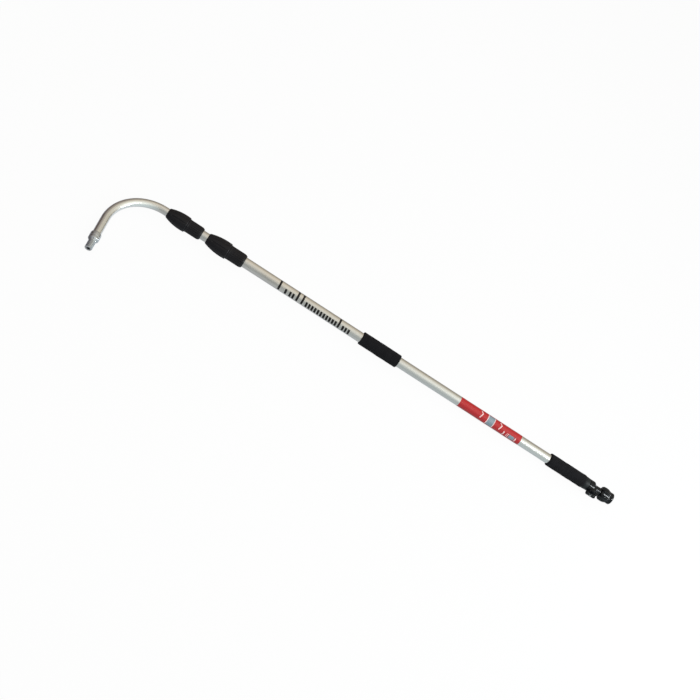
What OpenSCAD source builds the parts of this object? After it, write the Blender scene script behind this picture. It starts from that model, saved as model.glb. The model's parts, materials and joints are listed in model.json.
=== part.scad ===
// Telescopic water-fed cleaning pole with a bent neck, two twist locks and a shut-off valve.
// The pole lies along -X from the hose inlet at the origin. The neck bends level, toward -Y.
// Parts are drawn along a local Z axis that runs from the inlet to the neck, then laid down.

/* [Tubes] */
// Outside diameter of the handle tube
outer_d = 28; // [27:0.5:30]
// Wall thickness of all three tubes
tube_wall = 1.2; // [1:0.1:1.4]
// Radial gap between one tube and the next
tube_gap = 0.3; // [0.25:0.05:0.4]

/* [Lengths] */
// Inlet face to the lower end of the bottom grip
bottom_grip_z = 94; // [92:1:105]
// Length of each foam grip
grip_len = 118; // [90:1:130]
// Inlet face to the lower end of the middle grip
mid_grip_z = 708; // [553:1:753]
// Inlet face to the lower end of the label
label_z = 311; // [293:1:333]
// Length of the label
label_len = 199; // [120:1:200]
// Inlet face to the lower end of the lower lock
lower_lock_z = 1191; // [1093:1:1233]
// Length of the lower lock
lower_lock_len = 112; // [110:1:122]
// Middle tube showing between the two locks
middle_show = 17; // [17:1:40]
// Length of the upper lock
upper_lock_len = 102; // [100:1:112]

/* [Grips] */
// Outside diameter of the foam grips
grip_d = 36.4; // [34:0.2:40]
// Rounding at the ends of the foam grips
grip_round = 2.5; // [1:0.5:3.5]

/* [Neck] */
// Bend radius at the tube's centre line
bend_r = 108; // [90:1:125]
// Angle that the neck turns through
bend_angle = 97; // [80:1:115]
// Straight tube after the bend
neck_end_len = 72; // [50:1:90]

/* [Tip] */
// Outside diameter of the tip's thread
tip_thread_d = 19; // [18:0.1:20]
// Length of the tip's thread
tip_thread_len = 25; // [20:1:30]
// Outside diameter of the tip's collar
tip_collar_d = 27.4; // [26:0.2:30]

/* [Locks] */
// Largest diameter of the lower lock's collar
lower_lock_d = 45; // [44:0.2:47]
// Largest diameter of the upper lock's collar
upper_lock_d = 42.4; // [41.6:0.2:44]
// Number of finger flutes around a collar
flutes = 10; // [8:1:12]

/* [Hose end] */
// Outside diameter across the hose nut's lugs
nut_d = 40.6; // [39:0.2:43]
// Number of lugs around the hose nut
nut_lugs = 6; // [5:1:8]
// Outside diameter of the valve's housing
valve_d = 33.6; // [30:0.2:35]
// Outside diameter of the valve's neck
valve_neck_d = 22; // [21.5:0.5:24]
// Distance from the pole's axis to the face of the valve lever
lever_reach = 28; // [27:0.5:30]
// Length of the valve lever
lever_len = 31; // [28:1:36]

/* [Hidden] */
$fn = 96;

// Clearance of a running fit, and the small step that lets a cut pass a face
run = 0.05;
eps = 0.5;

// Tube radii, outside and inside
outer_r = outer_d / 2;
outer_ri = outer_r - tube_wall;
middle_r = outer_ri - tube_gap;
middle_ri = middle_r - tube_wall;
neck_r = middle_ri - tube_gap;
neck_ri = neck_r - tube_wall;

// Hose nut and the spigot it turns on
nut_len = 38;
nut_rim_len = 6;
nut_rim_r = 16.8;
nut_core_r = 15.4;
nut_lug_z = 12;
nut_lug_r = 5.5;
ght_minor_r = 12.15;
ght_major_r = 13.45;
ght_pitch = 2.21;
ght_turns = 6;
ght_lead_in = 2;
ght_groove_share = 0.7;
nut_relief_r = 13;
thread_depth = 16;
washer_len = 3;
washer_ri = 7;
spigot_flange_z = thread_depth + washer_len;
spigot_flange_len = 3;
spigot_r = 9.5;
water_r = 5;

// Valve
valve_z = 39;
valve_cone_z = 57;
valve_cone_len = 8;
valve_end_z = 79;
ball_z = 63;
ball_r = 8.5;
ball_slot_w = 3;
ball_slot_depth = 2.2;
seat_len = 4;
seat_ri = 5.6;
seat_reach = 9;
seat_z0 = ball_z - seat_reach;
seat_z1 = ball_z + seat_reach;
nipple_r = 9;
nipple_len = 12;
boss_r = 13;
web_z = 42;
web_t = 9;
stem_r = 4;
stem_tongue_w = 6;
stem_tongue_len = 4;
stem_flange_r = 5.3;
stem_flange_out = 9.6;
stem_flange_t = 1.7;
stem_square = 5;
stem_square_len = 5;
stem_ring_out = 16;
stem_ring_r = 0.8;
screw_r = 1.3;
screw_len = 10;
screw_head_r = 3;
screw_head_t = 1.6;
screw_slot_w = 0.8;
lever_t = 7;
lever_hub_r = 5.8;
lever_bar_r = 5;
lever_under = lever_reach - lever_t;
boss_reach = lever_under - 0.4;

// Adapter between the valve and the tube
adapter_z = valve_end_z;
adapter_skirt_len = bottom_grip_z - adapter_z;
adapter_r = 17.3;
adapter_bore_r = 7;
adapter_plug_end = bottom_grip_z + 24;
tube_start = adapter_z + 5;
rivet_z = bottom_grip_z + 17;
rivet_r = 2;
ring_r = 1.2;
plug_rings = [bottom_grip_z + 3, bottom_grip_z + 9];

// Telescoping sections: the piston of each inner tube, at the closed position
piston_len = 32;
piston_flange_len = 20;
middle_piston_z = adapter_plug_end + 22;
neck_piston_z = middle_piston_z + 60;
guide_in = 2;
guide_len = 8;
guide_t = 1.3;
piston_slack = 0.1;
piston_rings = [13.2, 17.1];

// Locks
seam_share = 0.43;
crown_share = 0.13;
seam_gap = 0.3;
lock_end_round = 4;
snout_wall_in = 2;
socket_len = 30;
socket_t = 2.6;
collet_gap = 3;
collet_t = 2.55;
collet_nose_t = 1.2;
collet_cone_len = 7;
collet_slot_w = 1.5;
thrust_gap = 3.1;
thrust_len = 5;
thrust_in = 2.6;
lock_bore_gap = 0.3;
rib_r = 1.7;
rib_out = 0.9;
rib_margin = 6;
neck_show = 7;
flute_r = 4;
flute_depth = 1.2;
barrel_steps = 8;
lower_rear_r = 19.3;
upper_rear_r = 17.8;
lower_barrel_r = 155;
upper_barrel_r = 125;
upper_lock_z = lower_lock_z + lower_lock_len + middle_show;
bend_z = upper_lock_z + upper_lock_len + neck_show;

// Straight end of the neck: its wall holds the bend's last millimetre inside a thin skin
end_skin = 0.02;
neck_end_r = neck_r + end_skin;

// Tip
tip_socket = 18;
tip_pitch = 5.08;
tip_thread_lead = 3.2;
tip_thread_turns = 4;
tip_root_r = tip_thread_d / 2 - 1.7;
tip_shoulder = 1;
tip_ring_in = 8.1;
tip_ring_r = 1;
tip_ring_out = 2;
tip_pocket_len = 2.2;
tip_bore_r = 5;
tip_cone_len = 5;

// Where a lock of the given length has its seam, and where its thrust ring starts
function lock_seam(len) = len * seam_share;
function thrust_at(len) = lock_seam(len) + collet_gap + socket_len + thrust_gap;

// Lays a part drawn along local Z down along -X
module lay() {
    rotate([0, -90, 0])
        children();
}

// Plain ring about local Z
module ring(z, len, ro, ri) {
    translate([0, 0, z])
        difference() {
            cylinder(h = len, r = ro);
            translate([0, 0, -eps])
                cylinder(h = len + 2 * eps, r = ri);
        }
}

// Rubber ring of round section
module o_ring(z, ro, section_r) {
    translate([0, 0, z])
        rotate_extrude()
            translate([ro - section_r, 0])
                circle(r = section_r, $fn = 32);
}

// Groove for an o_ring, cut into a plug whose outside is past ro
module o_groove(z, ro, section_r) {
    ring(z - section_r - 0.15, 2 * section_r + 0.3, ro + 5, ro - 2 * section_r);
}

// Local Z frame turned so that its Z points out of the side where the lever is
module lever_side(z) {
    translate([0, 0, z])
        rotate([90, 0, 0])
            children();
}

// Handle section

module outer_tube() {
    color("silver")
        lay()
            difference() {
                ring(tube_start, lower_lock_z + lock_seam(lower_lock_len) - tube_start, outer_r, outer_ri);
                rivet_holes();
            }
}

module rivet_holes() {
    translate([0, 0, rivet_z])
        rotate([0, 90, 0])
            translate([0, 0, -outer_r - 1])
                cylinder(h = 2 * outer_r + 2, r = rivet_r, $fn = 32);
}

module foam_grip(z) {
    color([0.06, 0.06, 0.07])
        lay()
            translate([0, 0, z])
                rotate_extrude()
                    difference() {
                        union() {
                            translate([outer_r, 0])
                                square([grip_d / 2 - outer_r - grip_round, grip_len]);
                            translate([outer_r, grip_round])
                                square([grip_d / 2 - outer_r, grip_len - 2 * grip_round]);
                            for (end = [grip_round, grip_len - grip_round])
                                translate([grip_d / 2 - grip_round, end])
                                    circle(r = grip_round, $fn = 48);
                        }
                        translate([0, -eps])
                            square([outer_r, grip_len + 2 * eps]);
                    }
}

module bottom_grip() {
    foam_grip(bottom_grip_z);
}

module mid_grip() {
    foam_grip(mid_grip_z);
}

module label_band() {
    color([0.75, 0.1, 0.13])
        lay()
            ring(label_z, label_len, outer_r + 0.15, outer_r);
}

module adapter_collar() {
    color([0.16, 0.17, 0.18])
        lay()
            difference() {
                union() {
                    translate([0, 0, adapter_z])
                        cylinder(h = adapter_skirt_len, r = adapter_r);
                    translate([0, 0, adapter_z + 1])
                        cylinder(h = adapter_plug_end - adapter_z - 1, r = outer_ri);
                }
                ring(tube_start, adapter_skirt_len, outer_r, outer_ri);
                translate([0, 0, adapter_z - eps])
                    cylinder(h = nipple_len + eps, r = nipple_r);
                translate([0, 0, adapter_z])
                    cylinder(h = adapter_plug_end - adapter_z + eps, r = adapter_bore_r);
                for (z = plug_rings)
                    o_groove(z, outer_ri, ring_r);
                rivet_holes();
            }
}

module adapter_o_rings() {
    color([0.05, 0.05, 0.05])
        lay()
            for (z = plug_rings)
                o_ring(z, outer_ri, ring_r);
}

module adapter_rivets() {
    color("silver")
        lay()
            intersection() {
                ring(rivet_z - 2 * rivet_r, 4 * rivet_r, outer_r, adapter_bore_r + 1);
                rivet_holes();
            }
}

// Valve

// Housing, boss for the stem, and a web that stiffens the boss toward the hose
module valve_body() {
    color([0.12, 0.13, 0.14])
        lay()
            difference() {
                union() {
                    translate([0, 0, valve_z])
                        cylinder(h = valve_cone_z - valve_z, r = valve_neck_d / 2);
                    translate([0, 0, valve_cone_z])
                        cylinder(h = valve_cone_len, r1 = valve_neck_d / 2, r2 = valve_d / 2);
                    translate([0, 0, valve_cone_z + valve_cone_len])
                        cylinder(h = valve_end_z - valve_cone_z - valve_cone_len, r = valve_d / 2);
                    translate([0, 0, valve_end_z - 1])
                        cylinder(h = nipple_len + 1, r = nipple_r);
                    lever_side(ball_z) {
                        cylinder(h = boss_reach, r = boss_r);
                        translate([-web_t / 2, web_z - ball_z, 0])
                            cube([web_t, ball_z - web_z, boss_reach - 1]);
                    }
                }
                translate([0, 0, valve_z - eps])
                    cylinder(h = seat_z1 - valve_z + eps, r = spigot_r);
                cylinder(h = valve_end_z + nipple_len + 1, r = water_r);
                lever_side(ball_z) {
                    cylinder(h = boss_reach + 1, r = stem_r + run);
                    cylinder(h = stem_flange_out + stem_flange_t + 0.2, r = stem_flange_r + run);
                }
            }
}

module valve_seats() {
    color("white")
        lay()
            difference() {
                union() {
                    ring(seat_z0, seat_len, spigot_r, seat_ri);
                    ring(seat_z1 - seat_len, seat_len, spigot_r, seat_ri);
                }
                translate([0, 0, ball_z])
                    sphere(r = ball_r + run);
            }
}

module valve_ball() {
    color("gold")
        lay()
            difference() {
                translate([0, 0, ball_z])
                    sphere(r = ball_r);
                translate([0, 0, ball_z - ball_r - 1])
                    cylinder(h = 2 * ball_r + 2, r = water_r);
                translate([-ball_r, -ball_r - 1, ball_z - ball_slot_w / 2])
                    cube([2 * ball_r, ball_slot_depth + 1, ball_slot_w]);
            }
}

module valve_stem() {
    color("gold")
        lay()
            difference() {
                lever_side(ball_z)
                    union() {
                        translate([-stem_tongue_w / 2, -ball_slot_w / 2, ball_r - ball_slot_depth])
                            cube([stem_tongue_w, ball_slot_w, stem_tongue_len]);
                        translate([0, 0, stem_flange_out])
                            cylinder(h = stem_flange_t, r = stem_flange_r);
                        translate([0, 0, stem_flange_out])
                            cylinder(h = lever_under - stem_flange_out, r = stem_r);
                        stem_end();
                    }
                lever_side(ball_z)
                    o_groove(stem_ring_out, stem_r, stem_ring_r);
                lever_side(ball_z)
                    translate([0, 0, lever_reach - screw_head_t - screw_len])
                        cylinder(h = screw_len + 5, r = screw_r, $fn = 32);
            }
}

// Square end of the stem, which turns with the lever
module stem_end() {
    translate([-stem_square / 2, -stem_square / 2, lever_under - 1])
        cube([stem_square, stem_square, stem_square_len]);
}

module stem_o_ring() {
    color([0.05, 0.05, 0.05])
        lay()
            lever_side(ball_z)
                o_ring(stem_ring_out, stem_r, stem_ring_r);
}

module valve_lever() {
    color([0.1, 0.11, 0.12])
        lay()
            difference() {
                lever_side(ball_z)
                    translate([0, 0, lever_under])
                        linear_extrude(height = lever_t)
                            lever_outline();
                lever_side(ball_z) {
                    stem_end();
                    translate([0, 0, lever_under])
                        cylinder(h = lever_t + 1, r = screw_r + 0.4, $fn = 32);
                    translate([0, 0, lever_reach - screw_head_t])
                        cylinder(h = screw_head_t + 1, r = screw_head_r + 0.4, $fn = 48);
                }
            }
}

// Outline of the lever: a hub with a rounded bar through it, longest along the pole
module lever_outline() {
    circle(r = lever_hub_r);
    square([2 * lever_bar_r, lever_len - 2 * lever_bar_r], center = true);
    for (side = [-1, 1])
        translate([0, side * (lever_len / 2 - lever_bar_r)])
            circle(r = lever_bar_r, $fn = 48);
}

module lever_screw() {
    color("silver")
        lay()
            lever_side(ball_z)
                difference() {
                    union() {
                        translate([0, 0, lever_reach - screw_head_t - screw_len])
                            cylinder(h = screw_len + 0.5, r = screw_r, $fn = 32);
                        translate([0, 0, lever_reach - screw_head_t])
                            cylinder(h = screw_head_t, r = screw_head_r, $fn = 48);
                    }
                    translate([-screw_head_r - 1, -screw_slot_w / 2, lever_reach - 0.6])
                        cube([2 * screw_head_r + 2, screw_slot_w, 1]);
                }
}

module hose_spigot() {
    color([0.14, 0.15, 0.16])
        lay()
            difference() {
                union() {
                    translate([0, 0, spigot_flange_z])
                        cylinder(h = spigot_flange_len, r = nut_relief_r - 0.3);
                    translate([0, 0, spigot_flange_z])
                        cylinder(h = seat_z0 - spigot_flange_z, r = spigot_r);
                }
                translate([0, 0, spigot_flange_z - eps])
                    cylinder(h = seat_z0 - spigot_flange_z + 1, r = water_r);
            }
}

// Swivel nut: lugs and a core around a female hose thread
module hose_nut() {
    color([0.07, 0.08, 0.08])
        lay()
            difference() {
                union() {
                    cylinder(h = nut_rim_len, r = nut_rim_r);
                    cylinder(h = nut_len, r = nut_core_r);
                    for (k = [0:nut_lugs - 1])
                        rotate([0, 0, k * 360 / nut_lugs])
                            translate([nut_d / 2 - nut_lug_r, 0, nut_lug_z])
                                cylinder(h = nut_len - nut_lug_z - 1, r = nut_lug_r, $fn = 48);
                }
                translate([0, 0, -eps])
                    cylinder(h = thread_depth + 2 * eps, r = ght_minor_r);
                translate([0, 0, thread_depth])
                    cylinder(h = washer_len + spigot_flange_len + run, r = nut_relief_r);
                translate([0, 0, -eps])
                    cylinder(h = nut_len + 2 * eps, r = spigot_r + run);
                for (k = [0:ght_turns - 1])
                    translate([0, 0, ght_lead_in + k * ght_pitch])
                        v_groove(ght_minor_r, ght_major_r, ght_pitch * ght_groove_share);
            }
}

// Ring cut whose section is a V pointing outward, from ri to ro
module v_groove(ri, ro, width) {
    rotate_extrude()
        polygon([[ri - 1, -width / 2], [ri, -width / 2], [ro, 0], [ri, width / 2], [ri - 1, width / 2]]);
}

module hose_washer() {
    color([0.1, 0.1, 0.1])
        lay()
            ring(thread_depth, washer_len, nut_relief_r - 0.1, washer_ri);
}

// Locks: the same four pieces for each, around an inner tube of radius tr in an outer tube of radius br

// Ferrule fixed on the end of the wider tube, with a threaded snout and a socket for the collet
module lock_body(z, len, br, tr, rear_r) {
    seam = lock_seam(len);
    lay()
        translate([0, 0, z])
            difference() {
                union() {
                    rotate_extrude()
                        difference() {
                            union() {
                                square([rear_r - lock_end_round, seam]);
                                translate([0, lock_end_round])
                                    square([rear_r, seam - lock_end_round]);
                                translate([rear_r - lock_end_round, lock_end_round])
                                    circle(r = lock_end_round, $fn = 64);
                            }
                            translate([-lock_end_round, 0])
                                square([lock_end_round, seam]);
                        }
                    translate([0, 0, seam - 1])
                        cylinder(h = socket_len + 1, r = rear_r - snout_wall_in);
                }
                translate([0, 0, -eps])
                    cylinder(h = seam + eps, r = br);
                translate([0, 0, seam - eps])
                    cylinder(h = collet_gap + 1, r = tr + run);
                translate([0, 0, seam + collet_gap])
                    cylinder(h = socket_len, r = tr + socket_t);
                for (k = [0:2 * flutes - 1])
                    rotate([0, 0, k * 180 / flutes])
                        translate([rear_r + rib_out, 0, rib_margin])
                            cylinder(h = seam - 2 * rib_margin, r = rib_r, $fn = 32);
            }
}

// Split ring that grips the inner tube when the collar drives the thrust ring up its cone
module lock_collet(z, len, tr) {
    seam = lock_seam(len);
    end_z = socket_len + collet_gap;
    cone_z = end_z - collet_cone_len;
    lay()
        translate([0, 0, z + seam + collet_gap])
            difference() {
                rotate_extrude()
                    polygon([
                        [tr + run, 0], [tr + collet_t, 0], [tr + collet_t, cone_z],
                        [tr + collet_nose_t, end_z], [tr + run, end_z]
                    ]);
                translate([0, -collet_slot_w / 2, -eps])
                    cube([2 * tr, collet_slot_w, end_z + 2 * eps]);
            }
}

// Ring inside the collar that pushes on the collet's cone
module lock_thrust_ring(z, len, tr, rear_r) {
    lay()
        ring(z + thrust_at(len), thrust_len, rear_r - thrust_in, tr + lock_bore_gap);
}

// Radius of a barrel at the distance u from its crown
function barrel_at(u, max_r, barrel_r) = max_r - barrel_r + sqrt(barrel_r * barrel_r - u * u);

// Barrel-shaped twist collar over the threaded snout
module lock_collar(z, len, tr, rear_r, max_r, barrel_r) {
    seam = lock_seam(len);
    crown = seam + len * crown_share;
    start = seam + seam_gap;
    outline = [
        for (k = [0:barrel_steps])
            let (h = start + k * (len - start) / barrel_steps)
                [barrel_at(h - crown, max_r, barrel_r), h]
    ];
    lay()
        translate([0, 0, z])
            difference() {
                rotate_extrude()
                    polygon(concat([[0, start]], outline, [[0, len]]));
                translate([0, 0, seam])
                    cylinder(h = socket_len + 0.4, r = rear_r - snout_wall_in + run);
                translate([0, 0, seam])
                    cylinder(h = thrust_at(len) + thrust_len + 0.1 - seam, r = rear_r - thrust_in + 0.1);
                translate([0, 0, seam])
                    cylinder(h = len, r = tr + lock_bore_gap);
                for (k = [0:flutes - 1])
                    rotate([0, 0, k * 360 / flutes])
                        translate([max_r + flute_r - flute_depth, 0, seam - 1])
                            cylinder(h = len, r = flute_r, $fn = 48);
            }
}

module lower_lock_body() {
    color([0.08, 0.08, 0.09])
        lock_body(lower_lock_z, lower_lock_len, outer_r, middle_r, lower_rear_r);
}

module lower_collet() {
    color("ivory")
        lock_collet(lower_lock_z, lower_lock_len, middle_r);
}

module lower_thrust_ring() {
    color("ivory")
        lock_thrust_ring(lower_lock_z, lower_lock_len, middle_r, lower_rear_r);
}

module lower_lock_collar() {
    color([0.07, 0.07, 0.08])
        lock_collar(lower_lock_z, lower_lock_len, middle_r, lower_rear_r, lower_lock_d / 2,
                    lower_barrel_r);
}

module upper_lock_body() {
    color([0.08, 0.08, 0.09])
        lock_body(upper_lock_z, upper_lock_len, middle_r, neck_r, upper_rear_r);
}

module upper_collet() {
    color("ivory")
        lock_collet(upper_lock_z, upper_lock_len, neck_r);
}

module upper_thrust_ring() {
    color("ivory")
        lock_thrust_ring(upper_lock_z, upper_lock_len, neck_r, upper_rear_r);
}

module upper_lock_collar() {
    color([0.07, 0.07, 0.08])
        lock_collar(upper_lock_z, upper_lock_len, neck_r, upper_rear_r, upper_lock_d / 2,
                    upper_barrel_r);
}

// Pistons: bored plugs in the inner tubes' lower ends that run in the wider tube

module piston(z, bore, wide_ri, tube_ri) {
    lay()
        difference() {
            union() {
                translate([0, 0, z])
                    cylinder(h = piston_flange_len, r = wide_ri - piston_slack);
                translate([0, 0, z])
                    cylinder(h = piston_len, r = tube_ri);
            }
            translate([0, 0, z - eps])
                cylinder(h = piston_len + 2 * eps, r = bore);
            ring(z + guide_in, guide_len + 2 * run, wide_ri + 1, wide_ri - guide_t);
            for (k = piston_rings)
                o_groove(z + k, wide_ri - run, ring_r);
        }
}

// Plain bearing ring that slides in the wider tube while the piston turns inside it
module guide_ring(z, wide_ri) {
    color("ivory")
        lay()
            ring(z + guide_in + run, guide_len, wide_ri - run, wide_ri - guide_t + run);
}

module piston_o_rings(z, wide_ri) {
    color([0.05, 0.05, 0.05])
        lay()
            for (k = piston_rings)
                o_ring(z + k, wide_ri - run, ring_r);
}

module middle_piston() {
    color([0.2, 0.2, 0.2])
        piston(middle_piston_z, 8, outer_ri, middle_ri);
}

module middle_guide_ring() {
    guide_ring(middle_piston_z, outer_ri);
}

module middle_o_rings() {
    piston_o_rings(middle_piston_z, outer_ri);
}

module middle_tube() {
    start = middle_piston_z + piston_flange_len;
    color("silver")
        lay()
            ring(start, upper_lock_z + lock_seam(upper_lock_len) - start, middle_r, middle_ri);
}

module neck_piston() {
    color([0.2, 0.2, 0.2])
        piston(neck_piston_z, 6.5, middle_ri, neck_ri);
}

module neck_guide_ring() {
    guide_ring(neck_piston_z, middle_ri);
}

module neck_o_rings() {
    piston_o_rings(neck_piston_z, middle_ri);
}

// Carries its children to the end of the bend, with local Z along the straight end
module after_bend() {
    translate([0, -bend_r, bend_z])
        rotate([bend_angle, 0, 0])
            translate([0, bend_r, 0])
                children();
}

module neck_tube() {
    start = neck_piston_z + piston_flange_len;
    color("silver")
        lay() {
            ring(start, bend_z - start, neck_r, neck_ri);
            translate([0, -bend_r, bend_z])
                rotate([0, 90, 0])
                    rotate([0, 0, 90])
                        rotate_extrude(angle = bend_angle)
                            translate([bend_r, 0])
                                difference() {
                                    circle(r = neck_r);
                                    circle(r = neck_ri);
                                }
            after_bend()
                ring(-1, neck_end_len + 1, neck_end_r, neck_ri - end_skin);
        }
}

module tip_fitting() {
    root_z = neck_end_len + tip_shoulder;
    color([0.62, 0.64, 0.66])
        lay()
            after_bend()
                difference() {
                    union() {
                        translate([0, 0, neck_end_len - tip_socket])
                            cylinder(h = tip_socket + tip_shoulder, r = tip_collar_d / 2);
                        translate([0, 0, root_z])
                            cylinder(h = tip_cone_len, r1 = tip_collar_d / 2, r2 = tip_thread_d / 2);
                        translate([0, 0, root_z + tip_cone_len])
                            cylinder(h = tip_thread_len, r = tip_thread_d / 2);
                    }
                    translate([0, 0, neck_end_len - tip_socket - eps])
                        cylinder(h = tip_socket + eps, r = neck_end_r);
                    translate([0, 0, neck_end_len - eps])
                        cylinder(h = tip_cone_len + tip_thread_len + 5, r = tip_bore_r);
                    translate([0, 0, neck_end_len - tip_socket + tip_ring_in - tip_pocket_len / 2])
                        cylinder(h = tip_pocket_len, r = neck_end_r + tip_ring_out);
                    for (k = [0:tip_thread_turns - 1])
                        ring(root_z + tip_cone_len + tip_thread_lead + k * tip_pitch, tip_pitch / 2,
                             tip_thread_d, tip_root_r);
                }
}

module tip_o_ring() {
    color([0.05, 0.05, 0.05])
        lay()
            after_bend()
                o_ring(neck_end_len - tip_socket + tip_ring_in, neck_end_r + tip_ring_out, tip_ring_r);
}

outer_tube();
bottom_grip();
mid_grip();
label_band();
adapter_collar();
adapter_o_rings();
adapter_rivets();
valve_body();
valve_seats();
valve_ball();
valve_stem();
stem_o_ring();
valve_lever();
lever_screw();
hose_spigot();
hose_nut();
hose_washer();
lower_lock_body();
lower_collet();
lower_thrust_ring();
lower_lock_collar();
middle_guide_ring();
middle_piston();
middle_o_rings();
middle_tube();
upper_lock_body();
upper_collet();
upper_thrust_ring();
upper_lock_collar();
neck_guide_ring();
neck_piston();
neck_o_rings();
neck_tube();
tip_fitting();
tip_o_ring();
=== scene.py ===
"""Looks for the telescopic cleaning pole: moulded detail, threads, prints, materials, light and camera."""

import json
import math

import bmesh
import bpy
import numpy as np
from mathutils import Matrix, Vector, noise


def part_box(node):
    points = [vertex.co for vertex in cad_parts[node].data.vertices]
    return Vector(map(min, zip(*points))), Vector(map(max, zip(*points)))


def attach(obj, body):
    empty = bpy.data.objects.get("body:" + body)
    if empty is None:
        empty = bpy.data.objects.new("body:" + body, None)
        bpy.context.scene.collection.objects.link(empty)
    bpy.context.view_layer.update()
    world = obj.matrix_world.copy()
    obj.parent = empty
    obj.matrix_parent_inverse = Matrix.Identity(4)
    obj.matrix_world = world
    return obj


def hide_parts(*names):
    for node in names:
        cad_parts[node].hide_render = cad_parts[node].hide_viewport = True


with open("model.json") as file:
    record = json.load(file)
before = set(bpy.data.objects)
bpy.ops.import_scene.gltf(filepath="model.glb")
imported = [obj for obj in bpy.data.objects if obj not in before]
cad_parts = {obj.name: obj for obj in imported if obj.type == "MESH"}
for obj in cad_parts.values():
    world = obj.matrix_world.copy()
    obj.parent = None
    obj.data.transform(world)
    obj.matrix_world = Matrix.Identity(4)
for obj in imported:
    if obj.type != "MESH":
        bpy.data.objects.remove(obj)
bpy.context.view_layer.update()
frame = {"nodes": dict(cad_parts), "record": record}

MM = 0.001
TURN = 2 * math.pi

# Camera: where it looks, from how far, how it leans, and its lens and sensor width in millimetres
CAMERA_AZIMUTH = math.radians(12.76)
CAMERA_ELEVATION = math.radians(52.86)
CAMERA_ROLL = math.radians(43.02)
CAMERA_DISTANCE = 2.611
CAMERA_TARGET = Vector((-0.838, -0.0542, 0.0006))
CAMERA_LENS = 51.43
SENSOR = 36

# The angle round the pole, from straight up toward the lever's side, that faces the camera
FACING = math.radians(36.5)

# Tubes
OUTER_R, MIDDLE_R, NECK_R = 14 * MM, 12.5 * MM, 11 * MM
WALL = 1.2 * MM

# Room between parts that turn on each other, skin between parts that are pressed together,
# and the largest sliver that a cut may leave
GAP = 0.05 * MM
PRESSED = 0.02 * MM
SLIVER = 0.002 * MM

# Prints stand this far into and above the surface they lie on
PRINT_UNDER, PRINT_OVER = 0.03 * MM, 0.05 * MM

# Neck and tip
BEND_R = 108 * MM
BEND_ANGLE = math.radians(97)
NECK_STRAIGHT = 72 * MM
NECK_SHOW = 7 * MM
TIP_SOCKET, TIP_SHOULDER, TIP_CONE = 18 * MM, 1 * MM, 5 * MM
TIP_THREAD_LEN, TIP_PITCH = 25 * MM, 5.08 * MM
TIP_THREAD_R, TIP_ROOT_R = 9.5 * MM, 7.9 * MM
TIP_COLLAR_R, TIP_BORE_R = 13.7 * MM, 5 * MM
TIP_GROOVE, TIP_GROOVE_DEPTH = (12.2 * MM, 13.8 * MM), 0.5 * MM

# Hose nut
NUT_LOBES = 6
NUT_THREAD_R, NUT_THREAD_ROOT_R, NUT_PITCH = 12.15 * MM, 13.45 * MM, 2.21 * MM
NUT_THREAD_DEPTH = 16 * MM
NUT_RELIEF_R, NUT_RELIEF_END = 13 * MM, 22.05 * MM
NUT_REAR_R = 13.9 * MM
SPIGOT_R = 9.5 * MM

# Valve
VALVE_NECK_R = 11 * MM
VALVE_CONE, VALVE_CONE_LEN = 57 * MM, 8 * MM
BALL_AT, SEAT_REACH = 63 * MM, 9 * MM
BOSS_R, BOSS_REACH = 13 * MM, 20.6 * MM
WEB_START, WEB_T = 42 * MM, 9 * MM
STEM_R, STEM_FLANGE_R, STEM_FLANGE_OUT = 4.05 * MM, 5.35 * MM, 11.5 * MM
NIPPLE_R, WATER_R = 9 * MM, 5 * MM
LEVER_HUB_R, LEVER_BAR_R = 5.8 * MM, 5 * MM
SCREW_R, SCREW_HEAD_R, SCREW_DEPTH = 1.9 * MM, 3.5 * MM, 1.6 * MM
LEVER_RIBS = (8.8 * MM, 10.8 * MM, 12.8 * MM)

# Adapter between valve and handle tube
SKIRT_FRONT = 7 * MM
SKIRT_GROOVE, SKIRT_GROOVE_DEPTH = (12.6 * MM, 14.4 * MM), 0.6 * MM
SKIRT_BOTTOM, NIPPLE_BOTTOM, PLUG_BORE_R = 5 * MM, 12 * MM, 7 * MM

# Locks
FLUTES = 10
SNOUT_IN = 2 * MM
SOCKET_LEN, SOCKET_T = 30 * MM, 2.6 * MM
COLLET_GAP = 3 * MM
NOSE_LEN = 16 * MM
FLUTE_DEPTH, RIB_DEPTH, LIP = 1.5 * MM, 0.9 * MM, 0.35 * MM

# Label: its graphics, each as (distance from the label's start, length), and how far round each goes, in
# degrees from the camera's side. A bend also gives the shift along the pole.
PANEL_SWEEP, CHART_SWEEP = 64, (8, 56)
PANEL = (89 * MM, 19 * MM)
PANEL_EDGES = [(87 * MM, 2.2 * MM), (108 * MM, 2.2 * MM)]
CHART = (18 * MM, 17 * MM)
CHART_BARS = [(13 * MM, 3 * MM), (37 * MM, 1.6 * MM), (41 * MM, 1.6 * MM), (50 * MM, 3.4 * MM)]
CHEVRONS = [(69 * MM, 3.2 * MM), (131 * MM, 3.2 * MM)]
CHEVRON_BEND = [(-53, 0), (-26, -5.8 * MM), (28, -1.8 * MM)]

# Bars on the handle tube: where they start, how far apart, and which places are taken, counted in pitches
BARS_START, BARS_PITCH, BARS_LEAN = 862 * MM, 9.1 * MM, 0.75 * MM
SHORT_BARS = [0, 1, 2] + [4.5 + k for k in range(11)] + [19, 20, 21.5]
TALL_BARS = [3.5, 16, 17.7, 23.8]


# ---------------------------------------------------------------- places from the frame

def span(node):
    """Nearest and farthest distance of a node from the hose inlet, along the pole."""
    low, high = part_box(node)
    return -high.x, -low.x


def reach(node):
    """Largest radius of a round node about the pole's axis."""
    low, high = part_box(node)
    return max(high.z, -low.z)


def bend_place(turned):
    """The point of the neck's centre line where it has turned through an angle."""
    return Vector((-BEND_START - BEND_R * math.sin(turned), -BEND_R * (1 - math.cos(turned)), 0))


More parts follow.
